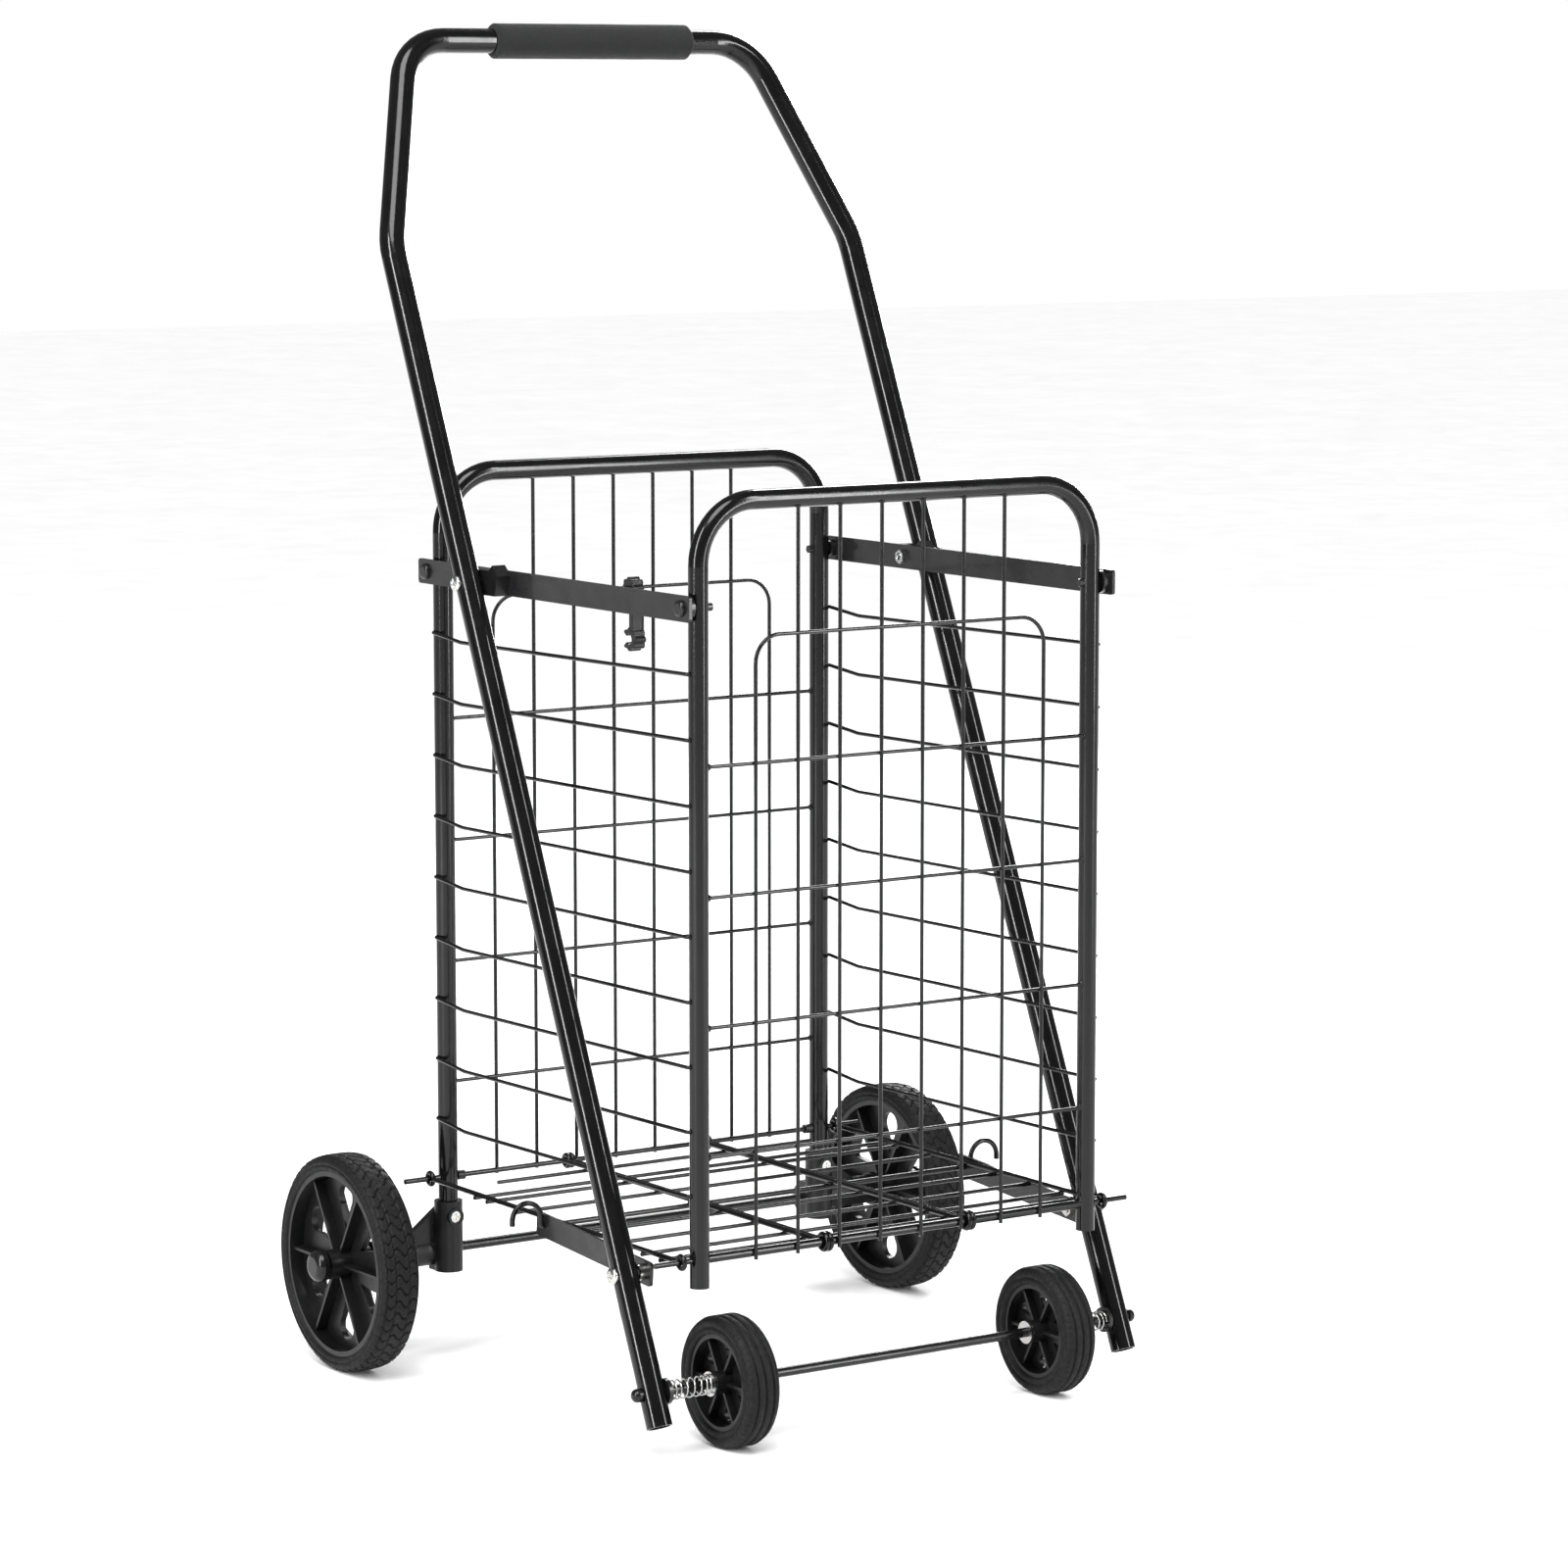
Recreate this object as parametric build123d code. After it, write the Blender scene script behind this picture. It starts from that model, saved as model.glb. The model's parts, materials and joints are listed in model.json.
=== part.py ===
from build123d import *
import math
import os

# Folding shopping trolley. Units: millimetres.
# +X to the right along the axles, -Y towards the small front wheels, +Z up, z = 0 on the floor.

# ---------------------------------------------------------------- driving dimensions
PITCH = 39.2                    # height between neighbouring side wires
ROD_Z = 119.5                   # height of the two bottom rods that carry the shelf
STRAP_Z = ROD_Z + 10 * PITCH    # height of the strap pivots
LEG_X = 145.0                   # centre of each frame leg from the middle
LEG_Y = 148.0                   # centre of each frame plane from the middle
FRAME_TOP_Z = 573.5             # centre of the top tube of both frames
REAR_TUBE_R = 6.35
FRONT_TUBE_R = 6.0
TUBE_WALL = 1.0
FRAME_CORNER = 38.0
REAR_LEG_END_Z = 62.0
FRONT_LEG_END_Z = 102.5

WIRE_R = 1.2                    # panel and side wires
VERTICAL_PITCH = 30.5
VERTICALS = 8
INNER_U_TOP_Z = 493.0
INNER_U_CORNER = 17.0
FIRST_HORIZONTAL_Z = 416.5
HORIZONTAL_PITCH = 2 * PITCH
HORIZONTALS = 4
ROD_R = 1.7                     # thin rod through both legs
ROD_END_X = 177.0
SLEEVE_R = 2.8                  # tube over the front rod, between the legs

SIDE_WIRE_X = 152.9
SIDE_WIRE_LEVELS = 9
SIDE_WIRE_KINK_RUN = 35.0
SIDE_WIRE_KINK_DROP = 3.5
SIDE_PIN_IN = 9.0               # how far each bent end reaches in from the wire
HOLE_PLAY = 0.3                 # loose fit of a bent wire end in its punched hole

STRAP_IN_X = 155.4
STRAP_THICK = 2.0
STRAP_HALF = 7.8
STRAP_OVERHANG = 9.5
BOLT_R = 2.5
BOLT_HEAD_R = 5.0
NUT_THICK = 3.4
NUT_ACROSS = 8.0
PIN_PLAY = 0.08                 # running fit of a pivot pin, on the radius
FACE_GAP = 0.2                  # gap between faces that turn against each other

BRACKET_LOW_Z = 58.0
BRACKET_HIGH_Z = 104.0
BRACKET_SLEEVE_R = 9.2
BRACKET_STUB_R = 9.5
SCREW_Z = 94.5
SCREW_R = 1.9
AXLE_R = 3.2
REAR_AXLE_Y = 158.0
REAR_WHEEL_R = 70.0
REAR_TYRE_IN_X = 199.5
REAR_TYRE_WIDTH = 27.0
HUB_CAP_IN_X = 232.5
HUB_CAP_END_X = 240.0
HUB_CAP_R = 10.5
REAR_AXLE_END_X = 236.0
WASHER_R = 8.0
FRONT_AXLE_R = 3.0
FRONT_AXLE_Y = -141.5
FRONT_WHEEL_R = 40.5
FRONT_TYRE_IN_X = 108.0
FRONT_TYRE_WIDTH = 22.0

HANDLE_X = 175.0
HANDLE_R = 8.0
HANDLE_WALL = 1.2
HANDLE_LEAN = 0.441             # rearward travel per unit of height
HANDLE_TOP_Z = 845.5
HANDLE_KNEE_Z = 718.0
HANDLE_APEX_X = 131.0
HANDLE_FOOT = 21.0              # tube below the front axle, along the leg
HANDLE_CORNER = 38.0
HANDLE_KNEE_R = 60.0
GRIP_R = 11.5
GRIP_LENGTH = 150.0
GRIP_X = 8.0

LINK_IN_X = 160.5
LINK_THICK = 2.0
LINK_HALF = 7.5
LINK_FRONT_Z = 107.6
LINK_REAR_Y = 1.0
LINK_REAR_Z = ROD_Z - 4.0
HOOK_WIRE_R = 1.7
HOOK_IN_X = 164.8
HOOK_OUT_X = 185.6
HOOK_TOP_Z = 131.3
HOOK_END_Z = 118.0

CLIP_WIDTH = 9.0
CLIP_DROP = 33.8
CLIP_EYE_R = 6.4
CLIP_JAW_R = 7.5
CLIP_ARM_THICK = 4.2

SHELF_WIRE_R = 1.6
SHELF_LATERAL_R = 1.3
SHELF_SIDE_X = 158.0
SHELF_INNER_X = 52.0
RUNNER_PAIR = 3.0               # spacing of the two wires in each inner pair
SHELF_LATERAL_YS = (91.0, 76.0, 39.0, -34.0, -71.0, -106.0, -126.0)
SHELF_REAR_LATERAL_Y = 124.0

MIDDLE_Y = (REAR_AXLE_Y + REAR_WHEEL_R + FRONT_AXLE_Y - FRONT_WHEEL_R) / 2

BASE_ALIGN = (Align.CENTER, Align.CENTER, Align.MIN)
SIDES = (("left", -1), ("right", 1))

os.makedirs("parts", exist_ok=True)


# ---------------------------------------------------------------- helpers
def save(name, shape):
    """Write one node as a STEP file, with the origin under the middle of the overall box."""
    centred = Pos(0, -MIDDLE_Y, 0) * Compound(children=list(shape.solids()))
    export_step(centred, "parts/" + name + ".step")


def rod(start, end, radius):
    """Round bar between two points."""
    run = Vector(*end) - Vector(*start)
    return Plane(origin=start, z_dir=run) * Cylinder(radius, run.length, align=BASE_ALIGN)


def cross_rod(x_from, x_to, y, z, radius):
    """Round bar along X."""
    return rod((min(x_from, x_to), y, z), (max(x_from, x_to), y, z), radius)


def ring(x_from, x_to, y, z, outer, inner):
    """Washer or sleeve whose axis runs along X."""
    low, high = min(x_from, x_to), max(x_from, x_to)
    return cross_rod(low, high, y, z, outer) - cross_rod(low - 1, high + 1, y, z, inner)


def bent(points, bends, radius):
    """Round bar swept along straight runs joined by arcs."""
    path = FilletPolyline(*points, radius=bends)
    return sweep(Plane(origin=path @ 0, z_dir=path % 0) * Circle(radius), path=path)


def tube(points, bends, radius, wall):
    """Bent hollow tube with open ends."""
    return bent(points, bends, radius) - bent(points, bends, radius - wall)


def fuse(shapes):
    """Join a list of shapes into one."""
    first, rest = shapes[0], shapes[1:]
    return first.fuse(*rest) if rest else first


def group(shapes):
    """Separate solids that share one node."""
    return Compound(children=[solid for shape in shapes for solid in shape.solids()])


def domed_head(side, x_face, y, z, radius, height):
    """Round screw head with a rounded top that points away from the middle of the trolley."""
    head = cross_rod(side * x_face, side * (x_face + height), y, z, radius)
    rims = head.edges().filter_by(GeomType.CIRCLE).sort_by(Axis.X)
    return fillet(rims[-1] if side > 0 else rims[0], height * 0.7)


def hex_nut(side, x_from, x_to, y, z, across_flats, bore):
    """Hexagon nut whose axis runs along X."""
    low, high = min(side * x_from, side * x_to), max(side * x_from, side * x_to)
    face = Plane(origin=(low, y, z), z_dir=(1, 0, 0)) * RegularPolygon(across_flats / 2, 6, major_radius=False)
    return extrude(face, high - low) - cross_rod(low - 1, high + 1, y, z, bore)


def handle_y(z):
    """Y of the handle plane at a height."""
    return FRONT_AXLE_Y + (z - FRONT_WHEEL_R) * HANDLE_LEAN


def level_z(level):
    """Height of a side wire, counted down from the strap."""
    return STRAP_Z - PITCH * level


def leg_holes(y, tube_r):
    """Punched holes in both legs: wire ends, strap bolt and bottom rod."""
    cuts = []
    for _, side in SIDES:
        for level in range(1, SIDE_WIRE_LEVELS + 1):
            z = level_z(level)
            cuts.append(cross_rod(side * LEG_X, side * (LEG_X + tube_r + 2), y, z, WIRE_R + HOLE_PLAY))
        cuts.append(cross_rod(side * (LEG_X - tube_r - 2), side * (LEG_X + tube_r + 2), y, STRAP_Z,
                              BOLT_R + PIN_PLAY))
        cuts.append(cross_rod(side * (LEG_X - tube_r - 2), side * (LEG_X + tube_r + 2), y, ROD_Z, ROD_R))
    return cuts


def frame_tube(y, tube_r, leg_end_z):
    """Inverted-U tube of one frame, with the holes in its legs."""
    points = [(-LEG_X, y, leg_end_z), (-LEG_X, y, FRAME_TOP_Z), (LEG_X, y, FRAME_TOP_Z), (LEG_X, y, leg_end_z)]
    return tube(points, FRAME_CORNER, tube_r, TUBE_WALL) - leg_holes(y, tube_r)


def panel_grille(y, out, tube_r, rod_r):
    """Welded wire panel of one frame. The verticals lie on the out side of the rod."""
    vertical_y = y + out * (rod_r + WIRE_R - 0.3)
    horizontal_y = vertical_y - out * (2 * WIRE_R - 0.4)
    half = VERTICAL_PITCH * (VERTICALS - 1) / 2
    low_z = ROD_Z - rod_r - 1.0
    wires = []
    for index in range(1, VERTICALS - 1):
        x = index * VERTICAL_PITCH - half
        wires.append(rod((x, vertical_y, low_z), (x, vertical_y, FRAME_TOP_Z), WIRE_R))
    wires.append(bent([(-half, vertical_y, low_z), (-half, vertical_y, INNER_U_TOP_Z),
                       (half, vertical_y, INNER_U_TOP_Z), (half, vertical_y, low_z)],
                      INNER_U_CORNER, WIRE_R))
    for index in range(HORIZONTALS):
        z = FIRST_HORIZONTAL_Z - index * HORIZONTAL_PITCH
        wires.append(cross_rod(-LEG_X, LEG_X, horizontal_y, z, WIRE_R))
    grille = fuse(wires)
    top = cross_rod(-LEG_X, LEG_X, y, FRAME_TOP_Z, tube_r)
    bottom = cross_rod(-LEG_X, LEG_X, y, ROD_Z, rod_r)
    legs = [rod((side * LEG_X, y, ROD_Z), (side * LEG_X, y, FRAME_TOP_Z), tube_r) for _, side in SIDES]
    return grille - [top, bottom] - legs


# ---------------------------------------------------------------- rear frame
def rear_frame():
    screw_holes = [rod((side * LEG_X, LEG_Y - 10, SCREW_Z), (side * LEG_X, LEG_Y, SCREW_Z), SCREW_R)
                   for _, side in SIDES]
    save("rear_frame_tube", frame_tube(LEG_Y, REAR_TUBE_R, REAR_LEG_END_Z) - screw_holes)
    save("rear_panel_grille", panel_grille(LEG_Y, 1, REAR_TUBE_R, ROD_R))
    save("rear_bottom_rod", cross_rod(-ROD_END_X, ROD_END_X, LEG_Y, ROD_Z, ROD_R))
    collars = [ring(side * (LEG_X - REAR_TUBE_R - 0.2), side * (LEG_X - REAR_TUBE_R - 5.5),
                    LEG_Y, ROD_Z, 3.1, ROD_R) for _, side in SIDES]
    save("rear_rod_collars", group(collars))
    bolts = []
    for _, side in SIDES:
        x_face = STRAP_IN_X + STRAP_THICK + FACE_GAP
        shank = cross_rod(side * (LEG_X - REAR_TUBE_R - 2.5), side * (x_face + 0.5), LEG_Y, STRAP_Z, BOLT_R)
        bolts.append(shank + domed_head(side, x_face, LEG_Y, STRAP_Z, BOLT_HEAD_R, 2.6))
    save("rear_strap_bolts", group(bolts))
    spacers = [ring(side * (LEG_X + REAR_TUBE_R + 0.1), side * (STRAP_IN_X - FACE_GAP),
                    LEG_Y, STRAP_Z, 5.2, BOLT_R) for _, side in SIDES]
    save("rear_strap_spacers", group(spacers))


def axle_bracket(side):
    """Plastic socket on the foot of a rear leg that carries the axle just behind the leg."""
    bottom, top = BRACKET_LOW_Z, BRACKET_HIGH_Z
    sleeve_r, stub_r = BRACKET_SLEEVE_R, BRACKET_STUB_R
    stub_end = REAR_TYRE_IN_X - 2.0
    leg_x = side * LEG_X
    body = rod((leg_x, LEG_Y, bottom), (leg_x, LEG_Y, top), sleeve_r)
    stub = cross_rod(side * (LEG_X - 8), side * stub_end, REAR_AXLE_Y, REAR_WHEEL_R, stub_r)
    bridge_low = REAR_WHEEL_R - stub_r
    bridge = Pos(leg_x, (LEG_Y + REAR_AXLE_Y) / 2, (bottom + 82) / 2) * Box(17, 12, 82 - bottom)
    gusset_x = [LEG_X + 4, stub_end - 14, LEG_X + 4]
    gusset_z = [bridge_low + 6, REAR_WHEEL_R + 4, top - 3]
    gusset_points = [(side * x, LEG_Y + 3, z) for x, z in zip(gusset_x, gusset_z)]
    gusset = extrude(make_face(Polyline(*gusset_points, close=True)), 5, dir=(0, 1, 0))
    foot_rib = cross_rod(side * (stub_end - 4), side * stub_end, REAR_AXLE_Y, REAR_WHEEL_R, stub_r + 1.5)
    boss = rod((leg_x, LEG_Y - sleeve_r - 1.2, SCREW_Z), (leg_x, LEG_Y, SCREW_Z), 5.6)
    body = body + stub + bridge + gusset + foot_rib + boss
    leg = rod((leg_x, LEG_Y, REAR_LEG_END_Z), (leg_x, LEG_Y, top + 1), REAR_TUBE_R)
    axle = cross_rod(side * (LEG_X - 20), side * (stub_end + 1), REAR_AXLE_Y, REAR_WHEEL_R, AXLE_R)
    screw = rod((leg_x, LEG_Y - sleeve_r - 2, SCREW_Z), (leg_x, LEG_Y, SCREW_Z), SCREW_R)
    recess = rod((leg_x, LEG_Y - sleeve_r - 2, SCREW_Z), (leg_x, LEG_Y - sleeve_r + 0.6, SCREW_Z), 3.8)
    return body - leg - axle - screw - recess


def bracket_screw(side):
    """Cross-recess screw that fixes a bracket to its leg from the front."""
    x, head_y = side * LEG_X, LEG_Y - BRACKET_SLEEVE_R - 0.4
    head = rod((x, head_y, SCREW_Z), (x, head_y + 1.0, SCREW_Z), 3.7)
    shank = rod((x, head_y + 0.9, SCREW_Z), (x, LEG_Y - 3.5, SCREW_Z), SCREW_R)
    slots = [Pos(x, head_y, SCREW_Z) * Rot(0, turn, 0) * Box(4.2, 1.0, 0.9) for turn in (0, 90)]
    return head + shank - slots


def rear_axle():
    save("rear_axle", cross_rod(-REAR_AXLE_END_X, REAR_AXLE_END_X, REAR_AXLE_Y, REAR_WHEEL_R, AXLE_R))
    screws = []
    for name, side in SIDES:
        save(name + "_axle_bracket", axle_bracket(side))
        screws.append(bracket_screw(side))
        hole = cross_rod(side * (HUB_CAP_IN_X - 5), side * REAR_AXLE_END_X, REAR_AXLE_Y, REAR_WHEEL_R, AXLE_R)
        cap = domed_head(side, HUB_CAP_IN_X, REAR_AXLE_Y, REAR_WHEEL_R, HUB_CAP_R, HUB_CAP_END_X - HUB_CAP_IN_X)
        skirt = ring(side * (HUB_CAP_IN_X - 1.3), side * (HUB_CAP_IN_X + 0.1), REAR_AXLE_Y, REAR_WHEEL_R,
                     WASHER_R, AXLE_R)
        save(name + "_hub_cap", (cap + skirt) - hole)
    save("bracket_screws", group(screws))
    save("rear_wheel_washers", group([ring(side * (REAR_TYRE_IN_X - 1.8), side * (REAR_TYRE_IN_X - 0.4),
                                           REAR_AXLE_Y, REAR_WHEEL_R, WASHER_R, AXLE_R) for _, side in SIDES]))


# ---------------------------------------------------------------- wheels
def spun(profile, side, x_in, y, z):
    """Turn an (outward x, radius) outline about an axle."""
    points = [(side * (x_in + x), y, z + radius) for x, radius in profile]
    face = make_face(Polyline(*points, close=True))
    return revolve(face, axis=Axis((0, y, z), (1, 0, 0)))


def rear_tyre(side):
    """Broad tyre with a rounded tread."""
    width, radius, bead = REAR_TYRE_WIDTH, REAR_WHEEL_R, 59.5
    profile = [(1.5, bead), (0, bead + 2.5), (0, radius - 5), (1.6, radius - 2.2), (5, radius - 0.5),
               (width / 2, radius), (width - 5, radius - 0.5), (width - 1.6, radius - 2.2),
               (width, radius - 5), (width, bead + 2.5), (width - 1.5, bead)]
    return spun(profile, side, REAR_TYRE_IN_X, REAR_AXLE_Y, REAR_WHEEL_R)


def spoke_window(side, x_from, x_to, y, z, angle, inner, outer, half_width):
    """Teardrop hole between two spokes, wide near the rim."""
    tip = (inner, 0)
    shoulder = outer - half_width
    points = [tip, (shoulder, half_width), (shoulder, -half_width)]
    face = make_face(Polyline(*points, close=True)) + Pos(shoulder, 0) * Circle(half_width)
    place = Plane(origin=(min(side * x_from, side * x_to), y, z), x_dir=(0, 0, 1), z_dir=(1, 0, 0))
    return extrude(place * Rot(0, 0, angle) * face, abs(x_to - x_from))


def wheel_hub(side, x_in, width, y, z, rim_r, rim_thick, boss_r, bore_r, web, spokes, window, boss_out):
    """Moulded hub: rim, dished web with teardrop windows, spoke ribs and a centre boss."""
    rim = ring(side * (x_in + 1.5), side * (x_in + width - 1.5), y, z, rim_r, rim_r - rim_thick)
    middle = x_in + width / 2
    disc = ring(side * (middle - web / 2), side * (middle + web / 2), y, z, rim_r - rim_thick / 2, boss_r - 1)
    boss = ring(side * (x_in + boss_out[0]), side * (x_in + boss_out[1]), y, z, boss_r, bore_r)
    inner, outer, half_width = window
    windows = [spoke_window(side, middle - web, middle + web, y, z, 360 * n / spokes,
                            inner, outer, half_width) for n in range(spokes)]
    rib_depth = width - 8
    rib_length = rim_r - rim_thick / 2 - boss_r + 1
    ribs = []
    for n in range(spokes):
        rib = Pos(0, 0, boss_r - 1 + rib_length / 2) * Box(rib_depth, 1.8, rib_length)
        ribs.append(Pos(side * middle, y, z) * Rot(360 * (n + 0.5) / spokes, 0, 0) * rib)
    return rim + (disc - windows) + boss + ribs


def rear_wheels():
    for name, side in SIDES:
        save(name + "_rear_tyre", rear_tyre(side))
        hub = wheel_hub(side, REAR_TYRE_IN_X, REAR_TYRE_WIDTH, REAR_AXLE_Y, REAR_WHEEL_R, 59.5, 3.2, 9.5,
                        AXLE_R + PIN_PLAY, 4.0, 6, (21.0, 51.0, 8.5), (0, 31.0))
        save(name + "_rear_hub", hub)


def front_tyre(side):
    """Narrow tyre with three grooves round the tread."""
    width, radius, bead = FRONT_TYRE_WIDTH, FRONT_WHEEL_R, 29.5
    profile = [(1.0, bead), (0, bead + 1.5), (0, radius - 4), (1.5, radius - 1.5)]
    groove_at = [5.4, 11.0, 16.6]
    for x in groove_at:
        profile += [(x - 0.9, radius), (x - 0.5, radius - 1.3), (x + 0.5, radius - 1.3), (x + 0.9, radius)]
    profile += [(width - 1.5, radius - 1.5), (width, radius - 4), (width, bead + 1.5), (width - 1.0, bead)]
    return spun(profile, side, FRONT_TYRE_IN_X, FRONT_AXLE_Y, FRONT_WHEEL_R)


def front_wheels():
    for name, side in SIDES:
        save(name + "_front_tyre", front_tyre(side))
        hub = wheel_hub(side, FRONT_TYRE_IN_X, FRONT_TYRE_WIDTH, FRONT_AXLE_Y, FRONT_WHEEL_R, 29.5, 2.6, 7.0,
                        FRONT_AXLE_R + PIN_PLAY, 3.0, 6, (12.5, 24.5, 3.6), (-2.6, 24.0))
        save(name + "_front_hub", hub)


# ---------------------------------------------------------------- straps
def strap(side):
    """Flat bar on two pivots, with the handle pivot between them."""
    rear, front = LEG_Y + STRAP_OVERHANG, -LEG_Y - STRAP_OVERHANG
    x = side * (STRAP_IN_X + STRAP_THICK / 2)
    bar = Pos(x, (rear + front) / 2, STRAP_Z) * Box(STRAP_THICK, rear - front, 2 * STRAP_HALF)
    bar = fillet(bar.edges().filter_by(Axis.X), 2.0)
    holes = [cross_rod(side * (STRAP_IN_X - 1), side * (STRAP_IN_X + 4), y, STRAP_Z, BOLT_R + PIN_PLAY)
             for y in (LEG_Y, handle_y(STRAP_Z), -LEG_Y)]
    return bar - holes


def handle_spacer(side):
    """Plastic block between the strap and the handle tube, with a stop nib on its top edge."""
    y, x_in, x_out = handle_y(STRAP_Z), STRAP_IN_X + STRAP_THICK, HANDLE_X - HANDLE_R - 0.3
    rear, front = y + 9.0, y - 21.0
    low, high = STRAP_Z - STRAP_HALF, STRAP_Z + STRAP_HALF
    outline = [(rear, low), (rear, high), (front + 10, high), (front + 6, high + 3.4),
               (front + 1.5, high - 0.5), (front, high - 3), (front + 3, low)]
    face = make_face(Polyline(*[(min(side * x_in, side * x_out), py, pz) for py, pz in outline], close=True))
    block = extrude(face, x_out - x_in, dir=(1, 0, 0))
    return block - cross_rod(side * (x_in - 1), side * (x_out + 1), y, STRAP_Z, BOLT_R)


def straps():
    pivot_bolts, pivot_nuts, front_bolts, washers = [], [], [], []
    pivot_y = handle_y(STRAP_Z)
    nut_in = STRAP_IN_X - NUT_THICK
    for name, side in SIDES:
        save(name + "_strap", strap(side))
        save(name + "_handle_spacer", handle_spacer(side))
        head_x = HANDLE_X + HANDLE_R + FACE_GAP
        shank = cross_rod(side * (nut_in - 0.8), side * (head_x + 0.5), pivot_y, STRAP_Z, BOLT_R)
        pivot_bolts.append(shank + domed_head(side, head_x, pivot_y, STRAP_Z, BOLT_HEAD_R, 3.0))
        pivot_nuts.append(hex_nut(side, nut_in, STRAP_IN_X, pivot_y, STRAP_Z, NUT_ACROSS, BOLT_R))
        outer = STRAP_IN_X + STRAP_THICK
        bolt = cross_rod(side * (LEG_X - FRONT_TUBE_R - 3.0), side * (outer + 0.5), -LEG_Y, STRAP_Z, BOLT_R)
        front_bolts.append(bolt + domed_head(side, outer, -LEG_Y, STRAP_Z, BOLT_HEAD_R, 2.6))
        washers.append(ring(side * (LEG_X + FRONT_TUBE_R + FACE_GAP), side * STRAP_IN_X, -LEG_Y, STRAP_Z,
                            7.0, BOLT_R))
    save("handle_pivot_bolts", group(pivot_bolts))
    save("handle_pivot_nuts", group(pivot_nuts))
    save("front_strap_bolts", group(front_bolts))
    save("front_strap_washers", group(washers))


# ---------------------------------------------------------------- front frame
def front_frame():
    save("front_frame_tube", frame_tube(-LEG_Y, FRONT_TUBE_R, FRONT_LEG_END_Z))
    save("front_panel_grille", panel_grille(-LEG_Y, -1, FRONT_TUBE_R, SLEEVE_R))
    save("front_bottom_rod", cross_rod(-ROD_END_X, ROD_END_X, -LEG_Y, ROD_Z, ROD_R))
    sleeve = ring(-LEG_X, LEG_X, -LEG_Y, ROD_Z, SLEEVE_R, ROD_R)
    legs = [rod((side * LEG_X, -LEG_Y, 100), (side * LEG_X, -LEG_Y, 140), FRONT_TUBE_R) for _, side in SIDES]
    save("front_rod_sleeve", sleeve - legs)


# ---------------------------------------------------------------- shelf
def eye(x, y, z, hole_r):
    """Ring bent round a rod, with its plane square to X."""
    centre_r = hole_r + SHELF_WIRE_R + 0.35
    return Pos(x, y, z) * Rot(0, 90, 0) * Torus(centre_r, SHELF_WIRE_R)


def shelf_runner(x, front_rod_r):
    """Fore-and-aft shelf wire with a ring at each end."""
    rear_eye, front_eye = eye(x, LEG_Y, ROD_Z, ROD_R), eye(x, -LEG_Y, ROD_Z, front_rod_r)
    rear_y = LEG_Y - (ROD_R + SHELF_WIRE_R + 0.35)
    front_y = -LEG_Y + (front_rod_r + SHELF_WIRE_R + 0.35)
    return fuse([rod((x, front_y, ROD_Z), (x, rear_y, ROD_Z), SHELF_WIRE_R), rear_eye, front_eye])


def shelf():
    runners = [shelf_runner(side * SHELF_SIDE_X, ROD_R) for _, side in SIDES]
    runners += [shelf_runner(side * (SHELF_INNER_X + shift), SLEEVE_R) for _, side in SIDES
                for shift in (0, RUNNER_PAIR)]
    lateral_z = ROD_Z - SHELF_WIRE_R - SHELF_LATERAL_R + 0.3
    for y in SHELF_LATERAL_YS:
        runners.append(cross_rod(-SHELF_SIDE_X - 1.5, SHELF_SIDE_X + 1.5, y, lateral_z, SHELF_LATERAL_R))
    inner_reach = SHELF_INNER_X + 70
    runners.append(cross_rod(-inner_reach, inner_reach, SHELF_REAR_LATERAL_Y, lateral_z, SHELF_LATERAL_R))
    save("shelf_grille", fuse(runners))


def hook_half(side):
    """Half of the cross wire: pivot for a link, then an arch that opens downwards."""
    y, z = LINK_REAR_Y, LINK_REAR_Z
    reach = (HOOK_OUT_X - HOOK_IN_X) / 2
    points = [(0, y, z), (side * HOOK_IN_X, y, z), (side * HOOK_IN_X, y, HOOK_TOP_Z),
              (side * HOOK_OUT_X, y, HOOK_TOP_Z), (side * HOOK_OUT_X, y, HOOK_END_Z)]
    return bent(points, [2.0, reach - 0.02, reach - 0.02], HOOK_WIRE_R)


def hook_wire():
    """Cross wire under the shelf, with a weld bead up to each runner it passes."""
    y, weld_r = LINK_REAR_Y, 1.2
    passed = [side * x for _, side in SIDES for x in (SHELF_SIDE_X, SHELF_INNER_X, SHELF_INNER_X + RUNNER_PAIR)]
    beads = [rod((x, y, LINK_REAR_Z), (x, y, ROD_Z), weld_r) for x in passed]
    runners = [rod((x, y - 6, ROD_Z), (x, y + 6, ROD_Z), SHELF_WIRE_R) for x in passed]
    save("hook_wire", fuse([hook_half(-1), hook_half(1)] + beads) - runners)


# ---------------------------------------------------------------- side wires
def side_wire(side, z):
    """Loose link of the basket side: both ends are bent in through the legs."""
    pin_x = side * (SIDE_WIRE_X - SIDE_PIN_IN)
    x = side * SIDE_WIRE_X
    points = [(pin_x, LEG_Y, z), (x, LEG_Y, z),
              (x, LEG_Y - SIDE_WIRE_KINK_RUN, z - SIDE_WIRE_KINK_DROP),
              (x, -LEG_Y, z), (pin_x, -LEG_Y, z)]
    return bent(points, [1.6, 30.0, 1.6], WIRE_R)


def side_wires():
    for level in range(1, SIDE_WIRE_LEVELS + 1):
        z = level_z(level)
        save("side_wires_" + str(level), group([side_wire(side, z) for _, side in SIDES]))


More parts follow.
